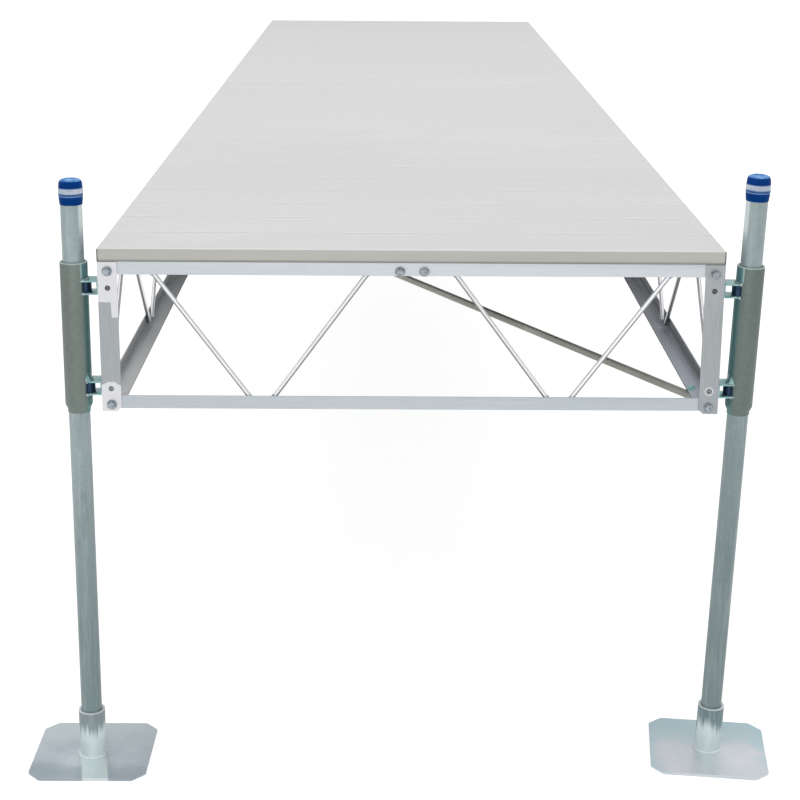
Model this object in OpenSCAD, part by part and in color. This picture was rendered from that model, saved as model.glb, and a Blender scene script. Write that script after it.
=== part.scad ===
// Aluminum dock section: a truss frame with drop-in deck panels,
// carried at its near end on two height-adjustable pipe legs and bolted at its far end.
// X runs across the dock, +Y along it toward the bolted end, +Z up.
// The origin lies on the outer face of the far right post, midway between its two holes.
// Millimetres.

/* [Dock] */
// Width of the deck and of the frame
dock_w = 1219.2; // [900:10:1800]
// Length of the section
dock_l = 4876.8; // [3600:100:6100]
// Height of the deck's top above the ground
deck_z = 1092; // [700:5:1600]
// Height of the frame, from the deck's underside to the bottom rails
frame_h = 299.3; // [240:5:400]

/* [Deck panels] */
// Depth of a deck panel
panel_h = 25.4; // [20:0.2:40]
// Thickness of the boards' tops and side legs, and of the trims along a panel's sides
panel_t = 2.2; // [1.6:0.1:4]
// Number of boards in a deck panel
board_n = 8; // [5:1:12]
// Gap between two boards of a panel
board_gap = 1.6; // [0.8:0.2:6]
// Thickness of a board's two inner legs
leg_t = 1.6; // [1.2:0.1:4]
// Height of the inner legs' lower ends above a panel's underside
leg_up = 4; // [0:0.5:12]
// Gap between two deck panels
panel_gap = 2; // [1:0.5:6]

/* [Frame angles] */
// Height of the upright leg of the end rails
rail_h = 26.7; // [20:0.1:32]
// Height of the upright leg of the side chords
chord_h = 32; // [22:0.5:36]
// Width of the flat leg of the rails and chords
rail_w = 38.1; // [25:0.5:50]
// Thickness of all frame angles
angle_t = 3.2; // [2.5:0.1:5]
// Leg width of the corner post angles
post_w = 38.1; // [34:0.5:60]
// Length of a corner post below the bottom rails
post_drop = 5.5; // [0:0.5:20]
// Gap between a post's top and the deck
post_top_gap = 1; // [0.5:0.5:8]
// Corner cut at the lower inner corner of a post
post_cut = 9; // [1:0.5:20]
// Depth of the cross members under the panel joints
cross_h = 30; // [20:1:60]

/* [Web rods] */
// Diameter of the web rods
rod_d = 9.5; // [6:0.5:14]
// Weld gap between pieces that are welded together
weld_gap = 0.1; // [0.05:0.05:0.3]
// Distance of a rod's ends from the top and the bottom of the frame
rod_end = 12; // [10:0.5:16]
// Half gap between two side rods at a bottom node
node_low = 19; // [14:1:40]
// Half gap between two side rods at a top node
node_top = 19; // [14:1:30]
// Number of top nodes along a side
side_n = 8; // [6:1:12]
// Distance of the first bottom node from the end of a side
side_edge = 18; // [10:1:80]
// Half gap between two rods at a bottom node of an end frame
end_low = 16; // [12:1:30]
// Half gap between the two middle rods at the top of an end frame
end_top = 76.5; // [20:0.5:120]
// Shift of an end frame's bottom nodes toward the middle
end_shift = 10.3; // [0:0.1:30]

/* [Bolt holes] */
// Diameter of the open holes in the posts
hole_d = 11; // [7:0.5:14]
// Distance of the upper hole below the top of the frame
hole_up = 53.4; // [50:0.2:70]
// Distance of the lower hole above the bottom of the frame
hole_low = 41.3; // [40:0.2:60]

/* [Plan braces] */
// Leg width of the brace angles
brace_w = 12.7; // [10:0.1:16]
// Thickness of the brace angles
brace_t = 2.6; // [2:0.1:4]
// Distance of a brace's near end from the end of the frame
brace_y = 83; // [70:1:120]
// Distance between the far ends of the two braces
brace_gap = 566; // [100:1:900]

/* [Leg holders] */
// Wall of the sleeves
sleeve_wall = 4; // [3:0.1:6]
// Play between a pipe and the bore of its sleeve
sleeve_play = 1.9; // [1:0.1:3]
// Distance of a sleeve's top below the deck's top
sleeve_top = 30.5; // [26:0.5:50]
// Length of a sleeve below the bottom rails
sleeve_drop = 10.6; // [5:0.1:40]
// Length of the narrowed end of a sleeve
collar_l = 7; // [4:0.5:12]
// Length of the taper above the narrowed end
taper_l = 9; // [5:0.5:15]
// Wall of the narrowed end
collar_t = 1; // [0.8:0.1:2]
// Height of a bracket
bracket_h = 28.6; // [24:0.2:36]
// Plate thickness of a bracket
bracket_t = 3.2; // [2:0.1:5]
// Depth of a bracket along the dock
bracket_d = 44; // [38:1:50]
// Gap between the post and the sleeve
sleeve_gap = 22.4; // [15:0.2:40]

/* [Legs] */
// Outer diameter of a leg pipe
pipe_d = 42.2; // [38:0.1:48]
// Wall of a leg pipe
pipe_t = 3.56; // [2:0.01:5]
// Height of the left pipe's top above the deck's top
pipe_rise = 127.8; // [90:0.2:400]
// Height of the right pipe's lower end above its foot plate, held by a set screw
right_lift = 17.2; // [2:0.2:30]
// Lean of the right leg, its top outward
leg_lean = 1.4; // [0:0.1:2.5]
// Lean of the left leg, its top toward the far end
left_tilt = 1; // [0:0.1:1.6]
// Lean of the right leg, its top toward the leg end
right_tilt = 1; // [0:0.1:1.6]
// Running clearance of a pipe in its sleeve's narrowed end
slide_clr = 0.3; // [0.2:0.05:0.6]
// Wall of an end cap
cap_wall = 2.6; // [2:0.1:4]
// Height of an end cap
cap_h = 50; // [40:1:70]
// Thickness of an end cap's top
cap_t = 3.8; // [3:0.2:6]
// Bevel of an end cap's top edge
cap_bevel = 2.2; // [1:0.2:2.6]
// Height of a foot socket
socket_h = 101.6; // [60:1:130]
// Play between a pipe and the bore of its foot socket
socket_play = 0.9; // [0.6:0.1:3]
// Wall of a foot socket
socket_wall = 5; // [3:0.1:8]
// Width of a foot plate, across the dock
foot_w = 241.3; // [180:1:320]
// Depth of a foot plate, along the dock
foot_d = 228.6; // [180:1:320]
// Corner cut of a foot plate
foot_cut = 26; // [5:1:60]
// Thickness of a foot plate
foot_t = 6; // [4:0.5:12]
// Turn of the right foot plate about its pipe
foot_turn = -7; // [-45:1:45]
// Distance of the left foot plate's middle behind its leg
foot_back = 10; // [0:1:20]

/* [Hidden] */
$fn = 64;
eps = 0.01;
// Deck panels, one for each deck node
panel_n = 4;

half_w = dock_w / 2;
frame_top = deck_z - panel_h;
frame_low = frame_top - frame_h;
// Outer face of the end rails, behind the posts' front flanges
rail_y = angle_t;
// Inner faces of the chords' upright legs and of the posts' side flanges
chord_x = half_w - angle_t;
// Inner edge of the chords' flat legs
flat_x = half_w - rail_w;
// Axes of the rods, welded to the inner faces of the upright legs
rod_y = rail_y + angle_t + weld_gap + rod_d / 2;
rod_x = chord_x - weld_gap - rod_d / 2;
rod_z_top = frame_top - rod_end;
rod_z_low = frame_low + rod_end;
side_step = (dock_l - 2 * side_edge) / side_n;
end_node = half_w / 2 - end_shift;
panel_l = (dock_l - (panel_n - 1) * panel_gap) / panel_n;
panel_step = panel_l + panel_gap;
brace_run = (dock_l - brace_gap) / 2 - brace_y;
// The holes in a post, and the brackets at the same heights
hole_x = half_w - post_w / 2;
hole_z_up = frame_top - hole_up;
hole_z_low = frame_low + hole_low;
// The legs
bore_d = pipe_d + 2 * sleeve_play;
sleeve_d = bore_d + 2 * sleeve_wall;
socket_bore = pipe_d + 2 * socket_play;
socket_d = socket_bore + 2 * socket_wall;
slide_d = pipe_d + 2 * slide_clr;
collar_d = slide_d + 2 * collar_t;
leg_x = half_w + sleeve_gap + sleeve_d / 2;
leg_y = bracket_d / 2;
// Each leg leans about the point midway between its brackets
leg_mid = (hole_z_up + hole_z_low) / 2;
sleeve_z = frame_low - sleeve_drop;
sleeve_l = deck_z - sleeve_top - sleeve_z;
pipe_l = deck_z + pipe_rise - foot_t;
// Each leg's lean: outward and toward the leg end
left_lean = [0, -left_tilt];
right_lean = [leg_lean, right_tilt];
// Room for the tilted end of the left pipe above its plate
left_lift = pipe_d / 2 * sin(left_tilt);
// Length cut off a socket's lower end
socket_trim = 5;
cap_bore = pipe_d + 2 * weld_gap;
cap_d = cap_bore + 2 * cap_wall;

// Moves the ground point below the middle of the leg end to its place in the row
module place() {
  translate([-hole_x, -dock_l, -leg_mid]) children();
}

// Mirror images of a right or near piece
module at_left() { mirror([1, 0, 0]) children(); }
module at_rear() { translate([0, dock_l, 0]) mirror([0, 1, 0]) children(); }
module upside_down() { translate([0, 0, frame_low + frame_top]) mirror([0, 0, 1]) children(); }

// Leans a piece of the right leg by lean = [its top outward, its top toward the leg end]
module leaning(lean) {
  translate([leg_x, leg_y, leg_mid]) rotate([lean[1], lean[0], 0])
    translate([-leg_x, -leg_y, -leg_mid]) children();
}

// A deck panel: boards on side and inner legs, with gaps between them, held by a trim on each side
module panel(k) {
  pitch = panel_l / board_n;
  edge = panel_t + board_gap / 2;
  cell = (pitch - 2 * edge - 2 * leg_t) / 3;
  wide = dock_w - 2 * panel_t;
  translate([-half_w, k * panel_step, frame_top]) difference() {
    cube([dock_w, panel_l, panel_h]);
    for (b = [0 : board_n - 1]) translate([panel_t, b * pitch + edge, -1]) {
      cube([wide, pitch - 2 * edge, leg_up + 1]);
      for (c = [0 : 2]) translate([0, c * (cell + leg_t), 0])
        cube([wide, cell, panel_h - panel_t + 1]);
    }
    for (b = [1 : board_n - 1]) translate([panel_t, b * pitch - board_gap / 2, -1])
      cube([wide, board_gap, panel_h + 2]);
  }
}

// The top rail of the near end: an angle with its flat leg at the top
module end_rail() {
  translate([-chord_x, rail_y, frame_top - rail_h]) cube([2 * chord_x, angle_t, rail_h]);
  translate([-flat_x, rail_y + angle_t - eps, frame_top - angle_t])
    cube([2 * flat_x, rail_w - angle_t + eps, angle_t]);
}

// The top chord of the right side, between the posts: an angle with its flat leg at the top
module chord() {
  translate([chord_x, post_w, frame_top - chord_h])
    cube([angle_t, dock_l - 2 * post_w, chord_h]);
  translate([flat_x, post_w, frame_top - angle_t])
    cube([rail_w - angle_t + eps, dock_l - 2 * post_w, angle_t]);
}

// A rod in an upright plane, between p and q = [along, up]
module rod(p, q) {
  run = q[0] - p[0];
  rise = q[1] - p[1];
  translate([p[0], 0, p[1]]) rotate([0, atan2(run, rise), 0])
    cylinder(d = rod_d, h = sqrt(run * run + rise * rise));
}

// The rods of the near end: two upright V shapes
module end_rods() {
  translate([0, rod_y, 0]) for (side = [-1, 1]) {
    rod([side * (end_node - end_low), rod_z_low], [side * end_top, rod_z_top]);
    rod([side * (end_node + end_low), rod_z_low], [side * (2 * end_node - end_top), rod_z_top]);
  }
}

// The zigzag rods of the right side
module side_rods() {
  translate([rod_x, 0, 0]) rotate([0, 0, 90]) for (k = [0 : side_n - 1]) {
    low = side_edge + k * side_step;
    top = low + side_step / 2;
    rod([low + node_low, rod_z_low], [top - node_top, rod_z_top]);
    rod([low + side_step - node_low, rod_z_low], [top + node_top, rod_z_top]);
  }
}

// The corner post of the near right corner
module post() {
  z0 = frame_low - post_drop;
  z1 = frame_top - post_top_gap;
  difference() {
    union() {
      translate([half_w - post_w, 0, z0]) cube([post_w, angle_t, z1 - z0]);
      translate([half_w - angle_t, 0, z0]) cube([angle_t, post_w, z1 - z0]);
    }
    for (z = [hole_z_up, hole_z_low])
      translate([hole_x, -1, z]) rotate([-90, 0, 0]) cylinder(d = hole_d, h = angle_t + 2);
    translate([half_w - post_w, -1, z0]) rotate([0, 45, 0])
      translate([-post_cut / sqrt(2), 0, -post_cut])
        cube([post_cut * sqrt(2), angle_t + 2, 2 * post_cut]);
  }
}

// A channel under a panel joint, legs down, between the top chords
module cross_channel(k) {
  joint_y = k * panel_step - panel_gap / 2;
  translate([-flat_x, joint_y - rail_w / 2, frame_top - cross_h]) difference() {
    cube([2 * flat_x, rail_w, cross_h]);
    translate([-1, angle_t, -1])
      cube([2 * flat_x + 2, rail_w - 2 * angle_t, cross_h - angle_t + 1]);
  }
}

// An angle across the underside, from the near right corner to the left chord
module plan_brace() {
  end_x = chord_x - brace_w / 2;
  long = sqrt(4 * end_x * end_x + brace_run * brace_run);
  translate([end_x, brace_y, frame_low]) rotate([0, 0, atan2(brace_run, -2 * end_x)]) {
    translate([0, -brace_w / 2, -brace_t]) cube([long, brace_w, brace_t]);
    translate([0, brace_w / 2 - brace_t, -brace_w]) cube([long, brace_t, brace_w - brace_t + eps]);
  }
}

// The right sleeve that a leg slides in, narrowed onto the pipe at its lower end
module sleeve(lean) {
  leaning(lean) translate([leg_x, leg_y, sleeve_z]) difference() {
    union() {
      cylinder(d = collar_d, h = collar_l + eps);
      translate([0, 0, collar_l]) cylinder(d1 = collar_d, d2 = sleeve_d, h = taper_l);
      translate([0, 0, collar_l + taper_l - eps])
        cylinder(d = sleeve_d, h = sleeve_l - collar_l - taper_l + eps);
    }
    translate([0, 0, -1]) cylinder(d = slide_d, h = sleeve_l + 2);
    translate([0, 0, collar_l + taper_l]) cylinder(d = bore_d, h = sleeve_l);
  }
}

// A right bracket: a channel between post and sleeve, centred on height z
module bracket(z, lean) {
  difference() {
    translate([half_w, 0, z - bracket_h / 2]) difference() {
      cube([leg_x - half_w - sleeve_d / 4, bracket_d, bracket_h]);
      translate([bracket_t, -1, bracket_t])
        cube([leg_x, bracket_d + 2, bracket_h - 2 * bracket_t]);
    }
    leaning(lean) translate([leg_x, leg_y, z - bracket_h])
      cylinder(d = sleeve_d + 2 * weld_gap, h = 2 * bracket_h);
  }
}

// The right leg's pipe, its lower end at a height of lift above the foot plate
module pipe(lean, lift) {
  leaning(lean) translate([leg_x, leg_y, foot_t + lift]) difference() {
    cylinder(d = pipe_d, h = pipe_l);
    translate([0, 0, -1]) cylinder(d = pipe_d - 2 * pipe_t, h = pipe_l + 2);
  }
}

// The cap pressed over the right pipe's top
module cap(lean, lift) {
  leaning(lean) translate([leg_x, leg_y, foot_t + lift + pipe_l + cap_t - cap_h]) difference() {
    union() {
      cylinder(d = cap_d, h = cap_h - cap_bevel);
      translate([0, 0, cap_h - cap_bevel - eps])
        cylinder(d1 = cap_d, d2 = cap_d - 2 * cap_bevel, h = cap_bevel + eps);
    }
    translate([0, 0, -1]) cylinder(d = cap_bore, h = cap_h - cap_t + 1);
  }
}

// The socket welded on the right foot plate, cut level where it stands on the plate
module socket(lean) {
  difference() {
    leaning(lean) translate([leg_x, leg_y, foot_t - socket_trim]) difference() {
      cylinder(d = socket_d, h = socket_h + socket_trim);
      translate([0, 0, -1]) cylinder(d = socket_bore, h = socket_h + socket_trim + 2);
    }
    translate([leg_x - foot_w, leg_y - foot_d, foot_t - 3 * socket_trim])
      cube([2 * foot_w, 2 * foot_d, 3 * socket_trim]);
  }
}

// A foot plate with cut corners, its middle a distance back behind where the leaning leg meets it
module foot(lean, turn, back) {
  foot_x = leg_x - leg_mid * tan(lean[0]);
  foot_y = leg_y + leg_mid * tan(lean[1]) / cos(lean[0]);
  x = foot_w / 2;
  y = foot_d / 2;
  c = foot_cut;
  translate([foot_x, foot_y + back, 0]) rotate([0, 0, turn]) linear_extrude(foot_t)
    polygon([[c - x, -y], [x - c, -y], [x, c - y], [x, y - c],
      [x - c, y], [c - x, y], [-x, y - c], [-x, c - y]]);
}

// One module for each node, in its place and colour
module deck_panel_1() { color("gainsboro") place() panel(0); }
module deck_panel_2() { color("gainsboro") place() panel(1); }
module deck_panel_3() { color("gainsboro") place() panel(2); }
module deck_panel_4() { color("gainsboro") place() panel(3); }
module front_top_rail() { color("silver") place() end_rail(); }
module front_bottom_rail() { color("silver") place() upside_down() end_rail(); }
module rear_top_rail() { color("silver") place() at_rear() end_rail(); }
module rear_bottom_rail() { color("silver") place() at_rear() upside_down() end_rail(); }
module front_web_rods() { color("lightgray") place() end_rods(); }
module rear_web_rods() { color("lightgray") place() at_rear() end_rods(); }
module left_top_chord() { color("silver") place() at_left() chord(); }
module right_top_chord() { color("silver") place() chord(); }
module left_bottom_chord() { color("silver") place() at_left() upside_down() chord(); }
module right_bottom_chord() { color("silver") place() upside_down() chord(); }
module left_web_rods() { color("lightgray") place() at_left() side_rods(); }
module right_web_rods() { color("lightgray") place() side_rods(); }
module front_left_post() { color("lightsteelblue") place() at_left() post(); }
module front_right_post() { color("lightsteelblue") place() post(); }
module rear_left_post() { color("lightsteelblue") place() at_rear() at_left() post(); }
module rear_right_post() { color("lightsteelblue") place() at_rear() post(); }
module cross_member_1() { color("silver") place() cross_channel(1); }
module cross_member_2() { color("silver") place() cross_channel(2); }
module cross_member_3() { color("silver") place() cross_channel(3); }
module front_brace() { color("dimgray") place() plan_brace(); }
module rear_brace() { color("dimgray") place() at_rear() plan_brace(); }
module left_sleeve() { color("slategray") place() at_left() sleeve(left_lean); }
module right_sleeve() { color("slategray") place() sleeve(right_lean); }
module left_upper_bracket() { color("cadetblue") place() at_left() bracket(hole_z_up, left_lean); }
module left_lower_bracket() { color("cadetblue") place() at_left() bracket(hole_z_low, left_lean); }
module right_upper_bracket() { color("cadetblue") place() bracket(hole_z_up, right_lean); }
module right_lower_bracket() { color("cadetblue") place() bracket(hole_z_low, right_lean); }
module left_pipe() { color("lightslategray") place() at_left() pipe(left_lean, left_lift); }
module right_pipe() { color("lightslategray") place() pipe(right_lean, right_lift); }
module left_cap() { color("mediumblue") place() at_left() cap(left_lean, left_lift); }
module right_cap() { color("mediumblue") place() cap(right_lean, right_lift); }
module left_socket() { color("lightslategray") place() at_left() socket(left_lean); }
module right_socket() { color("lightslategray") place() socket(right_lean); }
module left_foot() { color("lightsteelblue") place() at_left() foot(left_lean, 0, foot_back); }
module right_foot() { color("lightsteelblue") place() foot(right_lean, foot_turn, 0); }

deck_panel_1();
deck_panel_2();
deck_panel_3();
deck_panel_4();
front_top_rail();
front_bottom_rail();
rear_top_rail();
rear_bottom_rail();
front_web_rods();
rear_web_rods();
left_top_chord();
right_top_chord();
left_bottom_chord();
right_bottom_chord();
left_web_rods();
right_web_rods();
front_left_post();
front_right_post();
rear_left_post();
rear_right_post();
cross_member_1();
cross_member_2();
cross_member_3();
front_brace();
rear_brace();
left_sleeve();
right_sleeve();
left_upper_bracket();
left_lower_bracket();
right_upper_bracket();
right_lower_bracket();
left_pipe();
right_pipe();
left_cap();
right_cap();
left_socket();
right_socket();
left_foot();
right_foot();
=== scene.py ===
"""Looks for the aluminum dock section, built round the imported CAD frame.

All places come from the boxes of the CAD nodes. Lengths are in metres; X runs across the dock,
Y along it from the leg end, Z up.
"""

import math
import random

import bmesh
import bpy
import numpy as np
from mathutils import Matrix, Vector


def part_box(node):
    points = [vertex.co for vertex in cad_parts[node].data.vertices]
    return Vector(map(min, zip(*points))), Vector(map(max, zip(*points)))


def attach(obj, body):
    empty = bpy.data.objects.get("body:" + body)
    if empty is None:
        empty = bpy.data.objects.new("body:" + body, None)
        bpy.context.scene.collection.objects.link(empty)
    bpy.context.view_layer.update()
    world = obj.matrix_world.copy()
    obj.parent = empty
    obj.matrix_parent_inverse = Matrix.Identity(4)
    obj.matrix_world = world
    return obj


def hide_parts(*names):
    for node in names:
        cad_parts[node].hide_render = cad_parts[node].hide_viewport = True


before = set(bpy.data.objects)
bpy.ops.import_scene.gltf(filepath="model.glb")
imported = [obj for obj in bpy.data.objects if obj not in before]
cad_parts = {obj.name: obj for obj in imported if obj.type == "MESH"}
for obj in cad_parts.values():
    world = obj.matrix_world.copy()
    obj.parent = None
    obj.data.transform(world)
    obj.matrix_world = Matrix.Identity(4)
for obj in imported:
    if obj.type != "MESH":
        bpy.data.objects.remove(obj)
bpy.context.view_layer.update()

# ---------------------------------------------------------------- places, from the CAD nodes

DECK_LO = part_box("deck_panel_1")[0]
DECK_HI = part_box("deck_panel_4")[1]
X_LEFT, X_RIGHT = DECK_LO.x, DECK_HI.x
X_MID = (X_LEFT + X_RIGHT) / 2
HALF = (X_RIGHT - X_LEFT) / 2
Y_FRONT, Y_REAR = DECK_LO.y, DECK_HI.y
Y_MID = (Y_FRONT + Y_REAR) / 2
Z_DECK, Z_TOP = DECK_HI.z, DECK_LO.z
Z_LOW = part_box("front_bottom_rail")[0].z
Z_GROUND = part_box("left_foot")[0].z
Z_BRACKETS = (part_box("left_lower_bracket")[0].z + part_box("left_upper_bracket")[1].z) / 2

# Each end and side, with the direction from it into the dock.
ENDS = (("front", 1), ("rear", -1))
SIDES = (("left", 1), ("right", -1))

# ---------------------------------------------------------------- sizes the boxes don't give

PANELS, BOARDS = 4, 8
BOARD_GAP, BOARD_EASE = 0.0016, 0.0016
SKIN = 0.0022
INNER_LEG, INNER_LEG_UP = 0.0016, 0.004
TRIM_T, TRIM_PLAY, TRIM_DOWN = 0.0022, 0.0002, 0.0004
RIB_PITCH, RIB_DEPTH, RIB_MARGIN = 0.0095, 0.0004, 0.012
RIB_TOP, RIB_FOOT = 0.0011, 0.0005
ANGLE_T, BRACE_T = 0.0032, 0.0026
HOLE_R, HOLE_UP, HOLE_LOW = 0.0055, 0.0534, 0.0413
BOLT_UP, BOLT_LOW, BOLT_IN = 0.0192, 0.0087, 0.01905
RAIL_BOLT_DOWN, RAIL_BOLTS = 0.0176, (-0.022, 0.025)
CHORD_BOLT_X, CHORD_BOLT_Y = 0.58, 0.137
POST_CUT = 0.009
ROD_EASE, ROD_WELD_R, ROD_WELD_STEP = 0.0012, 0.0019, 0.0032
SLEEVE_R, BORE_R, PIPE_R, PIPE_T = 0.027, 0.023, 0.0211, 0.00356
SLIDE_R, COLLAR_L, TAPER_L, COLLAR_T = 0.0214, 0.007, 0.009, 0.001
SOCKET_BORE = 0.0213
BRACKET_T, BRACKET_WEB, BRACKET_IN = 0.0032, 0.0024, 0.0018
FLARE_W, FLARE_H, FLARE_REACH = 0.026, 0.017, 0.0085
FOOT_CUT, FOOT_ROUND = 0.026, 0.006
FOOT_TURN = math.radians(-7)
LEG_OUT = 0.0494
LEG_LEAN = {"left": 0.0, "right": math.radians(1.4)}
LEG_TILT = {"left": math.radians(-1.0), "right": math.radians(1.0)}
LEG_LIFT = {"left": 0.00037, "right": 0.0172}
FOOT_T, SOCKET_H = 0.006, 0.1016
PIPE_L = 1.2138
CAP_R, CAP_H, CAP_T, CAP_ROUND = 0.0238, 0.050, 0.0038, 0.0105
SLEEVE_LOW = Z_LOW - 0.0106
SLEEVE_L = Z_DECK - 0.0305 - SLEEVE_LOW
SOCKET_LOW = Z_GROUND + FOOT_T
CAP_LOW = SOCKET_LOW + PIPE_L + CAP_T - CAP_H
THREAD_PITCH, FLANGE_H = 0.0012, 0.0016
TUBE_SIDES, CAP_SIDES, CUT_SIDES, HEAD_SIDES, HOLE_SIDES, ROD_SIDES = 72, 64, 96, 36, 32, 20
FLOOR_HALF = 40

# Hexagon heads and nuts: across the flats, height and, with a flange, its radius.
RAIL_HEAD, RAIL_NUT = (0.0132, 0.0068, 0.0100), (0.0132, 0.0070)
CHORD_HEAD = (0.0130, 0.0060, 0.0098)
BRACKET_HEAD, BRACKET_NUT = (0.0112, 0.0030, 0.0076), (0.0143, 0.0070)
SCREW_NUT, SCREW_HEAD = (0.0159, 0.0080), (0.0127, 0.0056)

# Threaded ends: radius and length.
RAIL_THREAD, BRACKET_THREAD, SCREW_THREAD = (0.0044, 0.0060), (0.0062, 0.0165), (0.0046, 0.0130)

# Each bracket's bolt: the materials of its head and end, and how far its nut lies below mid-height.
BRACKET_BOLTS = {"upper": (1, 1, 0.005), "lower": (0, 2, 0.0065)}

# Directions, and the axes that draw a section in (Y, Z) out along X.
UP, AHEAD = (0, 0, 1), (0, 1, 0)
DRAWN_X = (AHEAD, UP, (1, 0, 0))

BLACK, WHITE = (0, 0, 0), (255, 255, 255)


def sided(side, left, right):
    """The value for a side."""
    return left if side == "left" else right


def spans(lo, hi):
    """A box's sizes along X, Y and Z."""
    return [high - low for low, high in zip(lo, hi)]


# ---------------------------------------------------------------- node materials


def linear(colour):
    """Three 0-255 display values as a linear colour; anything else stays as it is."""
    if not isinstance(colour, tuple) or len(colour) != 3:
        return colour
    shares = [value / 255 for value in colour]
    return (*(c / 12.92 if c <= 0.04045 else ((c + 0.055) / 1.055) ** 2.4 for c in shares), 1.0)


def drawn(along, share):
    """A stretch that draws a pattern out along one axis."""
    return tuple(share if letter == along else 1 for letter in "XYZ")


def node_in(tree, kind, values, **settings):
    """A new shader node with its settings, and with a value or a link for each socket given."""
    node = tree.nodes.new("ShaderNode" + kind)
    for key, value in settings.items():
        setattr(node, key, value)
    for key, value in values.items():
        if isinstance(value, bpy.types.NodeSocket):
            tree.links.new(value, node.inputs[key])
        else:
            node.inputs[key].default_value = value
    return node


class Look:
    """A node material in the making, whose patterns follow the piece's own coordinates."""

    def __init__(self, name, roughness, metallic, specular=0.5):
        self.material = bpy.data.materials.new(name)
        self.material.use_nodes = True
        self.tree = self.material.node_tree
        self.shader = self.tree.nodes["Principled BSDF"]
        self.shader.inputs["Roughness"].default_value = roughness
        self.shader.inputs["Metallic"].default_value = metallic
        self.shader.inputs["Specular IOR Level"].default_value = specular
        self.place = self.add("TexCoord", {}).outputs["Object"]

    def add(self, kind, values, **settings):
        return node_in(self.tree, kind, values, **settings)

    def stretched(self, stretch=(1, 1, 1), shift=(0, 0, 0)):
        values = {"Vector": self.place, "Scale": stretch, "Location": shift}
        return self.add("Mapping", values).outputs[0]

    def noise(self, scale, stretch=(1, 1, 1), detail=3, rough=0.55, shift=(0, 0, 0)):
        """Cloudy noise from 0 to 1."""
        values = {"Vector": self.stretched(stretch, shift), "Scale": scale, "Detail": detail,
                  "Roughness": rough}
        return self.add("TexNoise", values).outputs["Fac"]

    def wobble(self, scale, size):
        """Cloudy noise from minus to plus a size."""
        return self.span(self.noise(scale), 0.3, 0.7, -size, size)

    def span(self, value, low, high, to_low=0.0, to_high=1.0, kind="LINEAR"):
        """value, mapped from low..high to to_low..to_high."""
        values = {"Value": value, "From Min": low, "From Max": high, "To Min": to_low,
                  "To Max": to_high}
        return self.add("MapRange", values, interpolation_type=kind, clamp=True).outputs[0]

    def ease(self, value, low, high, to_low=0.0, to_high=1.0):
        """As span, with soft ends."""
        return self.span(value, low, high, to_low, to_high, "SMOOTHSTEP")

    def between(self, value, low, high, edge):
        """One where value lies between low and high, with edges that soft on both sides."""
        rise = self.span(value, low - edge, low + edge)
        return self.times(rise, self.span(value, high - edge, high + edge, 1, 0))

    def ramp(self, value, *colours, spread=(0.3, 0.7)):
        """Colours evenly spread over a part of 0 to 1."""
        node = self.add("ValToRGB", {"Fac": value})
        points = node.color_ramp.elements
        while len(points) < len(colours):
            points.new(0.5)
        low, high = spread
        for k, (point, colour) in enumerate(zip(points, colours)):
            point.position = low + (high - low) * k / (len(colours) - 1)
            point.color = linear(colour)
        return node.outputs["Color"]

    def mix(self, amount, first, second, blend="MIX"):
        """first and second, colours or sockets, mixed by a number or a socket."""
        values = {0: amount, 6: linear(first), 7: linear(second)}
        return self.add("Mix", values, data_type="RGBA", blend_type=blend).outputs[2]

    def coats(self, tone, *coats):
        """A tone under coats of (amount, colour)."""
        for amount, colour in coats:
            tone = self.mix(amount, tone, colour)
        return tone

    def math(self, kind, first, second=0.0):
        return self.add("Math", {0: first, 1: second}, operation=kind).outputs[0]

    def plus(self, first, second):
        return self.math("ADD", first, second)

    def minus(self, first, second):
        return self.math("SUBTRACT", first, second)

    def times(self, first, second):
        return self.math("MULTIPLY", first, second)

    def apart(self, first, second):
        return self.math("ABSOLUTE", self.minus(first, second))

    def axis(self, letter):
        return self.add("SeparateXYZ", {"Vector": self.place}).outputs[letter]

    def along(self, direction):
        """How far a point lies along a direction."""
        values = {0: self.place, 1: direction}
        return self.add("VectorMath", values, operation="DOT_PRODUCT").outputs["Value"]

    def facing(self, letter):
        """The surface normal's part along one axis, in world directions."""
        normal = self.add("NewGeometry", {}).outputs["Normal"]
        return self.add("SeparateXYZ", {"Vector": normal}).outputs[letter]

    def side(self):
        """The side of the dock's middle that a point lies on: -1 left, 1 right."""
        return self.math("SIGN", self.minus(self.axis("X"), X_MID))

    def colour(self, tone):
        self.tree.links.new(tone, self.shader.inputs["Base Color"])
        return self

    def bump(self, height, depth, strength):
        """A bump of that depth in metres; bumps chain."""
        values = {"Height": height, "Distance": depth, "Strength": strength}
        last = self.shader.inputs["Normal"]
        if last.is_linked:
            values["Normal"] = last.links[0].from_socket
        self.tree.links.new(self.add("Bump", values).outputs[0], last)

    def paint(self, tone, cloud, low, high, *bumps):
        """Sets the colour, a roughness from low to high by a cloud, and the bumps."""
        self.tone = tone
        self.tree.links.new(self.span(cloud, 0.3, 0.7, low, high), self.shader.inputs["Roughness"])
        for bump in bumps:
            self.bump(*bump)
        return self.colour(tone)


def mill_aluminium(name, dark, light, along, rough=0.42, metallic=0.85):
    """Extruded aluminium: drawn lines along one axis, a cloudy tone and small nicks."""
    look = Look(name, rough, metallic)
    cloud = look.noise(9, drawn(along, 0.06), 4)
    lines = look.noise(900, drawn(along, 0.02), 2)
    tone = look.mix(0.10, look.ramp(cloud, dark, light), look.ramp(lines, BLACK, WHITE), "OVERLAY")
    nicks = look.span(look.noise(240, detail=2), 0.70, 0.76)
    tone = look.mix(look.times(nicks, 0.35), tone, (120, 122, 126))
    return look.paint(tone, cloud, rough - 0.07, rough + 0.09, (lines, 0.00012, 0.25),
                      (nicks, 0.0002, 0.3))


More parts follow.
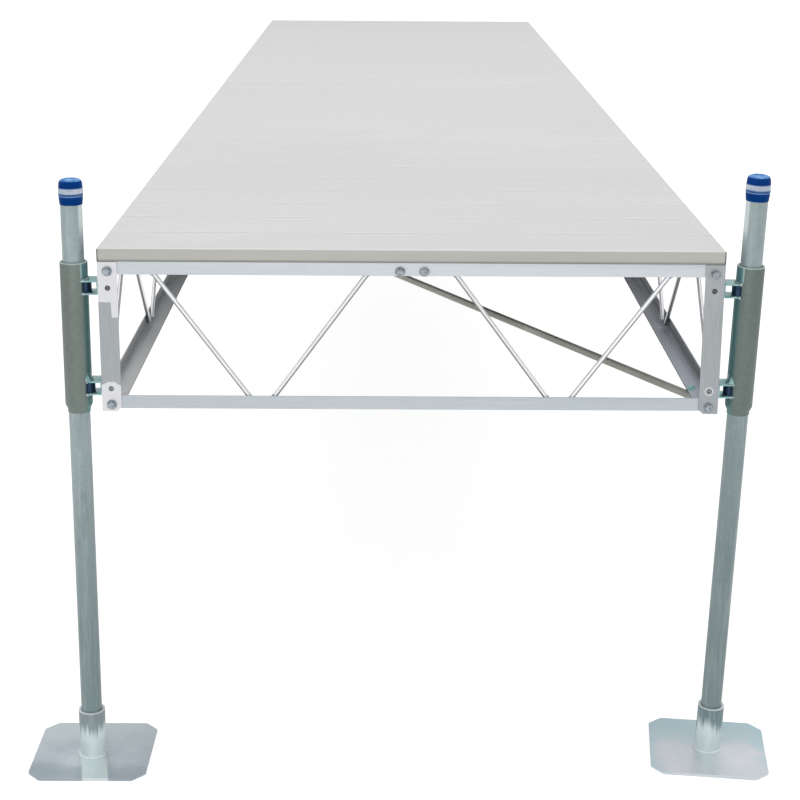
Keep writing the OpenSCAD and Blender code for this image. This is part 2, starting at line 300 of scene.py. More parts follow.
def rod_look(name, rule):
    """Bright drawn rod with painted shade underneath, on its outer edge or on its outer half."""
    look = Look(f"{name}_aluminium", 0.34, 0.7)
    drift = look.noise(30, drawn("Z", 0.1))
    outward = look.times(look.facing("X"), look.side())
    # Painted shade: each rule picks the faces that are mixed toward mid-grey, those turned down,
    # the outer edge or the outer half.
    facing, low, high, share = {
        "under": (look.times(look.facing("Z"), -1.0), -0.10, 0.35, 0.85),
        "edge": (outward, 0.45, 0.85, 0.6),
        "half": (look.plus(outward, look.times(look.side(), 0.25)), -0.80, -0.35, 0.95)}[rule]
    tone = look.mix(look.ease(facing, low, high, 0, share),
                    look.ramp(drift, (242, 244, 247), (252, 252, 254)), (112, 113, 112))
    grain = look.noise(600, drawn("Z", 0.05), 2)
    return look.paint(tone, drift, 0.34, 0.46, (grain, 0.0001, 0.3))


def chord_look(side):
    """A bottom chord: dark as painted shade under the deck, with painted light in its crease and
    near the legs, most of all facing up.
    """
    # The dark tones stand for the chord's shade under the deck: painted shade.
    dark, light = sided(side, ((92, 95, 98), (116, 119, 123)), ((84, 85, 88), (104, 104, 110)))
    look = mill_aluminium(f"{side}_chord_aluminium", dark, light, "Y", 0.5, 0.1)
    lo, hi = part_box(f"{side}_bottom_chord")
    # Painted light: paler near the legs' end and on upward faces, and paler in the crease.
    near = look.span(look.axis("Y"), Y_FRONT + 0.05, Y_FRONT + 1.1, 1, 0.08)
    upward_light = look.ease(look.facing("Z"), 0.4, 0.95, sided(side, 0.25, 0.05), 1)
    aside = look.apart(look.axis("X"), sided(side, lo.x + ANGLE_T, hi.x - ANGLE_T))
    above = look.apart(look.axis("Z"), lo.z + ANGLE_T)
    crease_light = look.ease(look.plus(aside, above), 0.001, 0.012, 0.55, 0)
    pale = sided(side, (246, 247, 248), (214, 219, 232))
    return look.colour(look.coats(look.tone, (crease_light, (206, 207, 210)),
                                  (look.times(upward_light, near), pale)))


def brace_look():
    """The weathered braces: brown-grey in two tones, with pale patches."""
    look = mill_aluminium("brace_aluminium", (134, 135, 128), (182, 182, 172), "Y", 0.5, 0.4)
    patch = look.span(look.noise(11, detail=2, rough=0.4, shift=(3, 1, 0)), 0.60, 0.68, 0, 0.6)
    return look.colour(look.mix(patch, look.tone, (214, 213, 206)))


def rail_look(name, dark, light):
    """A rail across the dock's end: mottled, with painted shade that darkens it a little toward the
    left.
    """
    look = mill_aluminium(name, dark, light, "X", 0.42, 0.6)
    # Painted shade: the rail darkens a little toward the left.
    dull = look.span(look.axis("X"), X_LEFT + 0.1, X_RIGHT - 0.2, 0.22, 0)
    return look.colour(look.mix(dull, look.tone, (166, 172, 180)))


def post_look(end, side):
    """A corner post: mid-grey, with pale zones at its ends and round the lower hole; those at the
    top and round the hole are painted reflections.
    """
    look = mill_aluminium(f"{end}_{side}_post_aluminium", (164, 169, 172), (174, 179, 182), "Z",
                          0.45, 0.6)
    lo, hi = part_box(f"{end}_{side}_post")
    middle, blur = (hi.x - lo.x) / 2, 0.001
    z = look.plus(look.axis("Z"), look.wobble(60, 0.0012))
    across = look.times(look.minus(look.axis("X"), sided(side, lo.x, hi.x)), sided(side, 1, -1))
    reach = look.span(across, 0.0243, 0.0253, 0.080, 0.111)
    down = look.minus(hi.z, z)
    # Painted reflection: a pale zone at the top, strong on the left post and faint on the right.
    top = look.ease(look.minus(reach, down), -blur, blur, 0, sided(side, 0.95, 0.04))
    if side == "left":
        arc = look.ease(look.apart(across, middle), 0.004, 0.020, 0.061, 0.055)
        low = look.ease(look.minus(arc, look.minus(z, lo.z)), -blur, blur, 0, 0.95)
    else:
        # Painted highlight: a pale ring round the right post's lower hole.
        off = look.minus(across, middle)
        rise = look.minus(look.axis("Z"), Z_LOW + HOLE_LOW)
        away = look.math("SQRT", look.plus(look.times(off, off), look.times(rise, rise)))
        low = look.ease(away, 0.0085, 0.0100, 0.6, 0)
    return look.colour(look.mix(look.math("MAXIMUM", top, low), look.tone, (228, 228, 231)))


def zinc(name, colours, rough=0.4, metallic=0.8, scale=14, stretch=(1, 1, 0.35), grain=0.12,
         spread=(0.3, 0.7)):
    """Galvanised steel: cloudy zinc with a fine spangle and soft runs."""
    look = Look(name, rough, metallic)
    cloud = look.noise(scale, stretch, 4, 0.6)
    cells = look.add("TexVoronoi", {"Vector": look.stretched(), "Scale": 160})
    spangle = look.add("RGBToBW", {"Color": cells.outputs["Color"]}).outputs[0]
    flake = look.ramp(spangle, (0.2, 0.2, 0.2, 1), (0.8, 0.8, 0.8, 1), spread=(0.2, 0.8))
    tone = look.mix(grain, look.ramp(cloud, *colours, spread=spread), flake, "OVERLAY")
    return look.paint(tone, cloud, rough - 0.06, rough + 0.08, (look.noise(420), 0.00015, 0.35),
                      (cloud, 0.0004, 0.25))


def seam_distance(look):
    """How far a point lies along the deck from the nearest board seam."""
    pitch = (Y_REAR - Y_FRONT) / (PANELS * BOARDS)
    share = look.math("DIVIDE", look.minus(look.axis("Y"), Y_FRONT), pitch)
    part = look.math("FRACT", look.plus(share, 0.5))
    return look.times(look.apart(part, 0.5), pitch)


def board_look():
    """Matt painted deck boards: an even pale grey, a fine grain, grime in the seams, and a painted
    shadow line along the foot of the front face.
    """
    look = Look("deck_board", 0.55, 0.0, 0.3)
    drift, y = look.noise(2.2, (0.5, 1.4, 1)), look.axis("Y")
    far = look.span(y, Y_FRONT + 0.8, Y_REAR, 0, 0.14)
    scuff = look.span(look.noise(60, drawn("X", 0.08), 4, 0.6), 0.66, 0.76, 0, 0.2)
    side = look.ease(look.math("ABSOLUTE", look.facing("Y")), 0.30, 0.80)
    behind = look.span(y, Y_FRONT + 0.003, Y_FRONT + 0.006)
    depth = look.span(y, Y_FRONT, Y_REAR, 0.20, 0.75)
    seam = look.times(look.span(seam_distance(look), 0.0012, 0.0026, 1, 0), depth)
    grime = look.times(look.math("MAXIMUM", look.times(side, 0.85), seam), behind)
    front = look.times(side, look.minus(1.0, behind))
    face = look.ramp(look.noise(40, drawn("X", 0.05)), (200, 200, 193), (206, 207, 199))
    # Painted shadow: a dark line along the foot of the front face, where the gap above the rail is
    # in shade.
    foot = look.ease(look.axis("Z"), Z_TOP + 0.0016, Z_TOP + 0.0040, 0.75, 0)
    tone = look.coats(look.ramp(drift, (219, 219, 218), (223, 223, 222)), (far, (245, 245, 244)),
                      (scuff, (202, 203, 201)), (grime, (132, 133, 130)), (front, face),
                      (look.times(foot, front), (112, 113, 104)))
    grain = look.noise(700, drawn("X", 0.15), 2)
    return look.paint(tone, drift, 0.5, 0.6, (grain, 0.0001, 0.3))


def trim_look():
    """The thin trim that closes the boards' ends: pale, with painted shade on its ends, and dark at
    the seams.
    """
    look = Look("deck_trim", 0.5, 0.0, 0.4)
    drift = look.noise(7, drawn("Y", 0.1))
    notch = look.ease(seam_distance(look), 0.0020, 0.0042, 0.9, 0)
    # Painted shade on the trim's ends, the faces turned along the deck.
    end_shade = look.ease(look.math("ABSOLUTE", look.facing("Y")), 0.5, 0.9)
    tone = look.coats(look.ramp(drift, (200, 200, 197), (210, 210, 207)),
                      (notch, (118, 118, 115)), (end_shade, (104, 100, 108)))
    grain = look.noise(500, drawn("Y", 0.1), 2)
    return look.paint(tone, drift, 0.45, 0.58, (grain, 0.0001, 0.3))


def cap_look(side):
    """Blue vinyl with a plain pale band, a mid-blue one and a thin ring below, and a painted
    highlight on the lid.
    """
    look = Look(f"{side}_cap_vinyl", 0.5, 0.0, 0.05)
    up, top = leg_level(side, CAP_LOW + CAP_H, LEG_LIFT[side])
    z, drift, close = look.along(up), look.noise(40), (0.35, 0.65)
    pale = look.ramp(look.noise(60, detail=2), (182, 196, 217), (212, 223, 235), spread=close)
    middle = look.ramp(drift, (44, 82, 142), (74, 112, 166))
    tone = look.ramp(drift, (0, 54, 122), (4, 64, 140))
    for high, low, edge, colour in ((0.53, 0.65, 0.0006, middle), (0.355, 0.555, 0.0012, pale),
                                    (0.64, 0.68, 0.0006, (120, 156, 200))):
        band = look.between(z, top - low * CAP_H, top - high * CAP_H, edge)
        tone = look.mix(band, tone, colour)
    # Painted highlight: a lighter, mottled blue on the lid.
    lid_highlight = look.ramp(look.noise(110, detail=2), (60, 118, 190), (128, 176, 226), spread=close)
    tone = look.mix(look.ease(z, top - 0.0045, top - 0.0030), tone, lid_highlight)
    return look.paint(tone, drift, 0.36, 0.5, (look.noise(300, detail=2), 0.0001, 0.2))


def socket_look(side):
    """Galvanised socket: a painted dark reflection round its upper part whose lower edge runs down
    in tongues, a painted highlight on the rim and painted light toward the base.
    """
    look = zinc(f"{side}_socket_zinc", ((212, 228, 229), (230, 241, 241)), 0.4, 0.3)
    up, top = leg_level(side, SOCKET_LOW + SOCKET_H)
    depth = look.minus(top, look.along(up))
    # Painted reflection of dark surroundings: a dark band round the upper part, its lower edge in
    # tongues.
    tongue = look.noise(84, drawn("Z", 0.03), 2, 0.5)
    edge = look.span(tongue, 0.38, 0.62, 0.24 * SOCKET_H, 0.48 * SOCKET_H)
    dark = look.ease(look.minus(edge, depth), -0.022, 0.010, 0, 0.9)
    streak = look.span(look.noise(150, drawn("Z", 0.05), 2), 0.45, 0.65, 0, 0.35)
    shade = look.mix(streak, sided(side, (120, 134, 138), (92, 118, 128)), (168, 182, 184))
    # Painted highlight on the rim, and painted light toward the base.
    rim = look.ease(depth, 0.0008, 0.0026, 0.9, 0)
    base = look.span(depth, 0.7 * SOCKET_H, SOCKET_H, 0, 0.35)
    return look.colour(look.coats(look.tone, (dark, shade), (rim, (222, 229, 228)),
                                  (base, (226, 234, 233))))


def foot_look(side):
    """A foot plate: clouded zinc, tinted at its back and edges, with a painted reflection of the
    socket in front of it.
    """
    colours = sided(side, ((152, 166, 176), (178, 190, 198), (204, 213, 218)),
                    ((204, 216, 222), (219, 224, 229), (234, 231, 237)))
    look = zinc(f"{side}_foot_zinc", colours, 0.34, 0.4, 6, (1, 1, 1), 0.05)
    lo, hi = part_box(f"{side}_foot")
    middle, leg = (lo + hi) / 2, leg_axis(side, SOCKET_LOW)
    x, y, wobble = look.axis("X"), look.axis("Y"), look.wobble(18, 0.02)
    share = sided(side, 0.7, 0.8)
    back = look.plus(look.minus(y, middle.y), wobble)
    rim = look.ease(look.plus(look.apart(x, middle.x), wobble), 0.085, 0.125, 0, share * 0.7)
    # Painted reflection: a bright strip in front of the socket, slanting toward the dock's middle.
    slant = look.times(look.minus(leg.y, y), sided(side, 0.2, -0.2))
    lit_strip = look.ease(look.apart(look.minus(x, leg.x), slant), 0.0235, 0.029,
                      sided(side, 0.95, 0.35), 0)
    lit_strip = look.times(lit_strip, look.span(y, leg.y - 0.02, leg.y, 1, 0))
    return look.colour(look.coats(
        look.tone,
        (look.ease(back, 0.0, 0.09, 0, share), sided(side, (210, 219, 222), (176, 206, 213))),
        (rim, sided(side, (190, 202, 208), (180, 214, 224))),
        (look.ease(back, -0.09, -0.03, sided(side, 0.6, 0.0), 0), (150, 164, 175)),
        (lit_strip, (222, 234, 234))))


def pipe_look(side):
    """Galvanised pipe: vertical runs, darker toward the foot, and a painted highlight on the inner
    side near the cap.
    """
    light = sided(side, 5, -4)
    colours = [tuple(value + light for value in colour)
               for colour in ((142, 157, 159), (160, 174, 176), (180, 192, 194))]
    look = zinc(f"{side}_pipe_zinc", colours, 0.42, 0.4, 22, drawn("Z", 0.05), 0.07, (0.28, 0.72))
    z = look.axis("Z")
    low = look.span(z, Z_LOW + 0.08, Z_GROUND + 0.25, 0, 0.68)
    patch = look.span(look.noise(34, drawn("Z", 0.3), 4, 0.6), 0.48, 0.64, 0, 0.22)
    runs = look.span(look.noise(110, drawn("Z", 0.07), 3, 0.6), 0.50, 0.68, 0, 0.20)
    # Painted highlight: a bright stripe on the inner side near the cap.
    inward = look.times(look.times(look.facing("X"), look.side()), -1.0)
    high = look.ease(z, Z_DECK + 0.012, Z_DECK + 0.05)
    inner_highlight = look.times(look.ease(inward, 0.66, 0.86, 0, 0.9), high)
    return look.colour(look.coats(look.tone, (low, (110, 128, 130)), (patch, (98, 116, 118)),
                                  (runs, (198, 208, 208)), (inner_highlight, (226, 238, 238))))


def sleeve_look(side):
    """Dull zinc tube, with painted blue-green light on the side toward the post, painted navy shade
    between the bracket flanges and a painted highlight on the rim.
    """
    colours = sided(side, ((114, 124, 119), (130, 140, 134)), ((105, 117, 112), (119, 131, 126)))
    look = zinc(f"{side}_sleeve_zinc", colours, 0.5, 0.6, 10, drawn("Z", 0.3), 0.08)
    up, top = leg_level(side, SLEEVE_LOW + SLEEVE_L)
    z, inward = look.axis("Z"), look.times(look.facing("X"), sided(side, 1, -1))
    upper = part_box(f"{side}_upper_bracket")[1].z
    # Painted light: blue-green on the side toward the post, with a lit strip and a bright line near
    # the upper bracket's top.
    near_rim = look.ease(z, upper - 0.006, upper + 0.012)
    lit_strip = look.times(look.ease(inward, 0.60, 0.68, 0, 0.85), near_rim)
    line = look.times(look.ease(inward, 0.56, 0.62, 0, 0.8), look.ease(inward, 0.66, 0.72, 1, 0))
    tone = look.coats(look.tone, (look.ease(inward, 0.55, 0.92, 0, 0.7), (92, 146, 148)),
                      (lit_strip, (98, 142, 147)), (look.times(line, near_rim), (176, 202, 200)))
    # Painted shade: dark navy on the side toward the post between each bracket's flanges.
    for level in ("upper", "lower"):
        lo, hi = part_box(f"{side}_{level}_bracket")
        shade = look.times(look.between(z, lo.z + 0.002, hi.z - 0.002, 0.001),
                           look.ease(inward, 0.62, 0.72, 0, 0.92))
        tone = look.mix(shade, tone, (24, 46, 72))
    # Painted highlight on the rim.
    rim = look.ease(look.along(up), top - 0.0028, top - 0.0012, 0, 0.8)
    return look.colour(look.mix(rim, tone, (190, 206, 204)))


def bolt_look(name, dark, light, rough, metallic, low, high, scale=180, spread=(0.3, 0.7)):
    """A bolt in two tones, with a fine grain."""
    look = Look(name, rough, metallic)
    cloud = look.noise(scale)
    return look.paint(look.ramp(cloud, dark, light, spread=spread), cloud, low, high,
                      (look.noise(700, detail=2), 0.0001, 0.3))


def weld_look(name, dark, light, metallic=0.8):
    """A rough weld bead."""
    look = Look(name, 0.45, metallic)
    ripple = look.noise(260)
    return look.paint(look.ramp(ripple, dark, light), ripple, 0.35, 0.6, (ripple, 0.0004, 0.5))


LOOKS = {}


def make_looks():
    """All materials, by name."""
    looks = {
        "board": board_look(),
        "trim": trim_look(),
        "rail": rail_look("rail_aluminium", (202, 208, 213), (221, 226, 230)),
        "low_rail": rail_look("low_rail_aluminium", (182, 190, 196), (202, 210, 215)),
        "top_chord": mill_aluminium("top_chord_aluminium", (150, 154, 158), (178, 182, 186), "Y"),
        "cross": mill_aluminium("cross_aluminium", (160, 164, 168), (186, 190, 194), "X"),
        "rod": rod_look("rod", "under"),
        "side_rod": rod_look("side_rod", "edge"),
        "dark_rod": rod_look("dark_rod", "half"),
        "brace": brace_look(),
        "bracket": zinc("bracket_zinc", ((104, 146, 150), (168, 204, 204)), 0.33, 0.75, 40),
        # Painted shade: the dark navy of the pads between the bracket flanges.
        "shade_pad": zinc("saddle_zinc", ((20, 42, 68), (46, 78, 104)), 0.4, 0.6, 60),
        "weld": weld_look("weld", (138, 150, 152), (206, 216, 216)),
        "bright_weld": weld_look("bright_weld", (218, 226, 228), (240, 244, 245), 0.1),
        "bolt": bolt_look("bolt_zinc", (112, 120, 126), (178, 186, 192), 0.3, 0.95, 0.24, 0.4,
                          spread=(0.32, 0.68)),
        "dark_bolt": bolt_look("bolt_dull", (172, 165, 170), (206, 199, 204), 0.6, 0.1, 0.5, 0.7),
        "bolt_end": bolt_look("bolt_end", (140, 192, 190), (196, 236, 234), 0.5, 0.0, 0.4, 0.6,
                              220),
    }
    for side, _ in SIDES:
        for part, look in (("chord", chord_look), ("cap", cap_look), ("pipe", pipe_look),
                           ("foot", foot_look), ("sleeve", sleeve_look), ("socket", socket_look)):
            looks[f"{side}_{part}"] = look(side)
        for end, _ in ENDS:
            looks[f"{end}_{side}_post"] = post_look(end, side)
    LOOKS.update({name: look.material for name, look in looks.items()})


# ---------------------------------------------------------------- mesh building blocks


class Shape:
    """Points and faces of a piece in the making, with a material for each face."""

    def __init__(self):
        self.points, self.faces, self.kinds = [], [], []

    def add(self, geometry, place=None, kind=0):
        """Takes in points and faces, moved to a place; a mirroring one turns the faces over."""
        points, faces = geometry
        place = place or Matrix.Identity(4)
        first, order = len(self.points), -1 if place.determinant() < 0 else 1
        self.points += [tuple(place @ Vector(point)) for point in points]
        self.faces += [[first + i for i in face][::order] for face in faces]
        self.kinds += [kind] * len(faces)
        return self

    def mesh(self, name):
        mesh = bpy.data.meshes.new(name)
        mesh.from_pydata(self.points, [], self.faces)
        return mesh

    def piece(self, name, body, slot, materials, nodes=(), smooth=35):
        """Turns the shape into an object that rides on a body and stands for CAD nodes."""
        mesh = self.mesh(name)
        for material in materials:
            mesh.materials.append(LOOKS[material])
        mesh.polygons.foreach_set("material_index", self.kinds)
        piece_of(mesh, name, body, nodes, smooth)


def linked(name, data):
    """A new object in the scene."""
    obj = bpy.data.objects.new(name, data)
    bpy.context.scene.collection.objects.link(obj)
    return obj


def face_outward(mesh):
    """Turns the normals of a mesh outward."""
    work = bmesh.new()
    work.from_mesh(mesh)
    bmesh.ops.recalc_face_normals(work, faces=work.faces)
    work.to_mesh(mesh)
    work.free()


def piece_of(mesh, name, body, nodes, smooth):
    """An object of that mesh, shaded smooth up to an angle, on its body."""
    mesh.validate()
    face_outward(mesh)
    mesh.shade_smooth()
    mesh.set_sharp_from_angle(angle=math.radians(smooth))
    obj = linked(name, mesh)
    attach(obj, body)
    if nodes:
        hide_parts(*nodes)


def placed(origin, x, y, z):
    """The matrix that lays X, Y and Z along three directions from an origin."""
    return Matrix.Translation(origin) @ Matrix((x, y, z)).transposed().to_4x4()


def frame_at(origin, along):
    """A matrix whose Z runs along one direction, with Y as near as can be to upright."""
    z = Vector(along).normalized()
    x = Vector(UP).cross(z)
    if x.length < 1e-6:
        x = Vector((1, 0, 0)).cross(z)
    x.normalize()
    return placed(origin, x, z.cross(x), z)


def circle(radius, sides):
    """Points evenly round a circle."""
    turns = [2 * math.pi * k / sides for k in range(sides)]
    return [(radius * math.cos(turn), radius * math.sin(turn)) for turn in turns]


def fillet(corners, radii, steps=3):
    """A closed outline with its corners rounded by those radii."""
    out = []
    for i, (corner, radius) in enumerate(zip(corners, radii)):
        here = Vector(corner)
        back = (Vector(corners[i - 1]) - here).normalized()
        on = (Vector(corners[(i + 1) % len(corners)]) - here).normalized()
        if radius <= 0:
            out.append(tuple(here))
            continue
        half = back.angle(on) / 2
        reach = radius / math.tan(half)
        centre = here + (back + on).normalized() * (radius / math.sin(half))
        start, end = here + back * reach - centre, here + on * reach - centre
        turn = start.angle_signed(end)
        for k in range(steps + 1):
            spin = -turn * k / steps
            out.append((centre.x + start.x * math.cos(spin) - start.y * math.sin(spin),
                        centre.y + start.x * math.sin(spin) + start.y * math.cos(spin)))
    return out


def skin(rings):
    """Points and faces of a body through rings of points, closed at both ends."""
    n = len(rings[0])
    last = n * (len(rings) - 1)
    faces = [(low + k, low + (k + 1) % n, low + n + (k + 1) % n, low + n + k)
             for low in range(0, last, n) for k in range(n)]
    faces += [tuple(range(n))[::-1], tuple(range(last, last + n))]
    return [point for ring in rings for point in ring], faces


def extrusion(outline, length):
    """Points and faces of an outline in XY, drawn out along Z."""
    return skin([[(x, y, z) for x, y in outline] for z in (0, length)])


def lathe(outline, sides):
    """Points and faces of an outline of (radius, height), turned about Z."""
    points, rings = [], []
    for radius, height in outline:
        spots = circle(radius, sides) if radius >= 1e-7 else [(0, 0)]
        ring = [len(points) + k for k in range(len(spots))]
        rings.append(ring if len(ring) > 1 else ring * sides)
        points += [(x, y, height) for x, y in spots]
    faces = []
    for low, high in zip(rings, rings[1:] + rings[:1]):
        for k in range(sides):
            on = (k + 1) % sides
            face = list(dict.fromkeys((low[k], low[on], high[on], high[k])))
            if len(face) > 2:
                faces.append(face)
    return points, faces


def bead(points, radius, seed, sides=8, lump=0.22):
    """A weld bead along a line of points: a lumpy rope that tapers at both ends."""
    draw = random.Random(seed)
    line = [Vector(p) for p in points]
    rings = []
    for i, here in enumerate(line):
        before, after = line[max(i - 1, 0)], line[min(i + 1, len(line) - 1)]
        basis = frame_at(here, after - before)
        share = i / (len(line) - 1)
        taper = min(1.0, 0.35 + 5 * min(share, 1 - share))
        size = radius * taper * (1 + lump * draw.uniform(-1, 1))
        ring = []
        for x, y in circle(1.0, sides):
            wobble = 1 + 0.10 * draw.uniform(-1, 1)
            ring.append(tuple(basis @ Vector((size * wobble * x, size * wobble * y, 0))))
        rings.append(ring)
    return skin(rings)


def hexagon_head(across, height, flange=0.0):
    """A hexagon head with a chamfered top, on a round flange where one is given."""
    flat, rings = across / 2, []

    def hexagon(limit, z):
        ring = []
        for k in range(HEAD_SIDES):
            turn = 2 * math.pi * k / HEAD_SIDES
            local = (turn + math.pi / 6) % (math.pi / 3) - math.pi / 6
            size = min(flat / math.cos(local), limit)
            ring.append((size * math.cos(turn), size * math.sin(turn), z))
        return ring

    base = FLANGE_H if flange else 0.0
    if flange:
        for radius, z in ((flange - 0.0003, 0), (flange, 0.0004), (flange, base * 0.6),
                          (flange * 0.93, base)):
            rings.append([(x, y, z) for x, y in circle(radius, HEAD_SIDES)])
    corner = flat / math.cos(math.pi / 6)
    for limit, share in ((corner, 0), (corner, 0.78), (flat * 1.04, 0.95), (flat * 0.94, 1),
                         (flat * 0.62, 1), (flat * 0.54, 0.93)):
        rings.append(hexagon(limit, base + height * share))
    return skin(rings)


def threaded_end(radius, length):
    """A bolt's end with its thread as close rings and a chamfered tip."""
    outline = [(0, 0), (radius * 0.9, 0)]
    for k in range(int(length / THREAD_PITCH)):
        outline += [(radius, (k + 0.3) * THREAD_PITCH), (radius * 0.88, (k + 0.8) * THREAD_PITCH)]
    return lathe(outline + [(radius * 0.75, length), (0, length)], ROD_SIDES)


def curve_plate(name, outline, holes, thickness, bevel):
    """Points and faces of a flat plate in XY with round holes and eased edges, from z 0 up."""
    curve = bpy.data.curves.new(name, "CURVE")
    curve.dimensions, curve.fill_mode = "2D", "BOTH"
    curve.extrude = thickness / 2 - bevel
    curve.bevel_depth, curve.bevel_resolution, curve.offset = bevel, 1, -bevel
    rings = [outline]
    for x, y, radius in holes:
        rings.append([(x + dx, y + dy) for dx, dy in circle(radius, HOLE_SIDES)])
    for ring in rings:
        spline = curve.splines.new("POLY")
        spline.points.add(len(ring) - 1)
        for point, (x, y) in zip(spline.points, ring):
            point.co = (x, y, 0, 1)
        spline.use_cyclic_u = True
    obj = linked(name, curve)
    graph = bpy.context.evaluated_depsgraph_get()
    mesh = bpy.data.meshes.new_from_object(obj.evaluated_get(graph))
    bpy.data.objects.remove(obj)
    bpy.data.curves.remove(curve)
    points = [(v.co.x, v.co.y, v.co.z + thickness / 2) for v in mesh.vertices]
    faces = [tuple(p.vertices) for p in mesh.polygons]
    bpy.data.meshes.remove(mesh)
    return points, faces


def islands(node):
    """The separate solids of a CAD node, as arrays of points."""
    work = bmesh.new()
    work.from_mesh(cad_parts[node].data)
    bmesh.ops.remove_doubles(work, verts=work.verts, dist=1e-6)
    seen, found = set(), []
    for start in work.verts:
        if start in seen:
            continue
        group, queue = [], [start]
        seen.add(start)
        while queue:
            vert = queue.pop()
            group.append(tuple(vert.co))
            for edge in vert.link_edges:
                other = edge.other_vert(vert)
                if other not in seen:
                    seen.add(other)
                    queue.append(other)
        found.append(np.array(group))
    work.free()
    return found


def rod_ends(points):
    """The two end centres and the radius of a cylinder's points, the lower end first."""
    centre = points.mean(0)
    axis = np.linalg.svd(points - centre)[2][0]
    along = (points - centre) @ axis
    low, high = centre + axis * along.min(), centre + axis * along.max()
    away = points - centre - np.outer(along, axis)
    radius = float(np.linalg.norm(away, axis=1).max())
    if low[2] > high[2]:
        low, high = high, low
    return Vector(low), Vector(high), radius


# ---------------------------------------------------------------- deck


def board_outline(width, depth, lip):
    """A board's section: ribbed top with eased edges, two side legs and two inner legs."""
    ease = BOARD_EASE
    top = [(0, 0), (0, depth - ease), (ease * 0.3, depth - ease * 0.3), (ease, depth)]
    ribs = int((width - RIB_MARGIN) / RIB_PITCH)
    start = (width - ribs * RIB_PITCH) / 2
    for k in range(ribs):
        at = start + (k + 0.5) * RIB_PITCH
        top += [(at - RIB_TOP, depth), (at - RIB_FOOT, depth - RIB_DEPTH),
                (at + RIB_FOOT, depth - RIB_DEPTH), (at + RIB_TOP, depth)]
    top += [(width - ease, depth), (width - ease * 0.3, depth - ease * 0.3),
            (width, depth - ease), (width, 0)]
    under = depth - SKIN
    inside = [(width - SKIN, 0), (width - SKIN, under)]
    for share in (2 / 3, 1 / 3):
        at = width * share
        inside += [(at + INNER_LEG / 2, under), (at + INNER_LEG / 2, INNER_LEG_UP),
                   (at - INNER_LEG / 2, INNER_LEG_UP), (at - INNER_LEG / 2, under)]
    inside += [(SKIN, under), (SKIN, 0)]
    if lip:
        top[1:1] = [(0, 0.0016), (0.0012, 0.0024), (0.0012, 0.0036), (0, 0.0044)]
    return top + inside


def build_deck():
    """Four panels of eight boards, each held in a trim along both sides."""
    trim = TRIM_T + TRIM_PLAY
    for number in range(1, PANELS + 1):
        name = f"deck_panel_{number}"
        lo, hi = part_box(name)
        _, long, tall = spans(lo, hi)
        pitch, across = long / BOARDS, (hi.x - trim) - (lo.x + trim)
        shape = Shape()
        for k in range(BOARDS):
            before = 0 if k == 0 else BOARD_GAP / 2
            after = 0 if k == BOARDS - 1 else BOARD_GAP / 2
            outline = board_outline(pitch - before - after, tall, k == 0 and number == 1)
            place = placed((lo.x + trim, lo.y + k * pitch + before, lo.z), *DRAWN_X)
            shape.add(extrusion(outline, across), place)
        high = tall - TRIM_DOWN
        section = fillet([(0, 0), (TRIM_T, 0), (TRIM_T, high), (0, high)],
                         [0.0006, 0.0004, 0.0005, 0.0016], 2)
        for edge, inward in ((lo.x, 1), (hi.x, -1)):
            place = placed((edge, lo.y, lo.z), (inward, 0, 0), UP, AHEAD)
            shape.add(extrusion(section, long), place, 1)
        shape.piece(f"deck_boards_{number}", "dock", "deck", ["board", "trim"], [name], 30)


# ---------------------------------------------------------------- frame


def angle_section(upright, flat):
    """An angle's section in (across, up): corner at 0, flat leg along +X, upright along +Y."""
    t = ANGLE_T
    return fillet([(0, 0), (flat, 0), (flat, t), (t, t), (t, upright), (0, upright)],
                  [0.0007, 0.0008, 0.0012, 0.0024, 0.0012, 0.0008])


def build_angle(name, node, along, inward, up, look):
    """A rail or chord angle in its node's box; inward and up are the signs of its two legs."""
    lo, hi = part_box(node)
    wide, long, tall = spans(lo, hi)
    z = lo.z if up > 0 else hi.z
    if along == "X":
        flat, length, corner = long, wide, (lo.x, lo.y if inward > 0 else hi.y, z)
        place = placed(corner, (0, inward, 0), (0, 0, up), (1, 0, 0))
    else:
        flat, length, corner = wide, long, (lo.x if inward > 0 else hi.x, lo.y, z)
        place = placed(corner, (inward, 0, 0), (0, 0, up), AHEAD)
    shape = Shape().add(extrusion(angle_section(tall, flat), length), place)
    shape.piece(name, "dock", "frame", [look], [node])


def build_rails():
    """Rails across both ends and chords along both sides."""
    for end, inward in ENDS:
        build_angle(f"{end}_rail_top", f"{end}_top_rail", "X", inward, -1, "rail")
        build_angle(f"{end}_rail_bottom", f"{end}_bottom_rail", "X", inward, 1, "low_rail")
    for side, inward in SIDES:
        build_angle(f"{side}_chord_top", f"{side}_top_chord", "Y", inward, -1, "top_chord")
        build_angle(f"{side}_chord_bottom", f"{side}_bottom_chord", "Y", inward, 1,
                    f"{side}_chord")


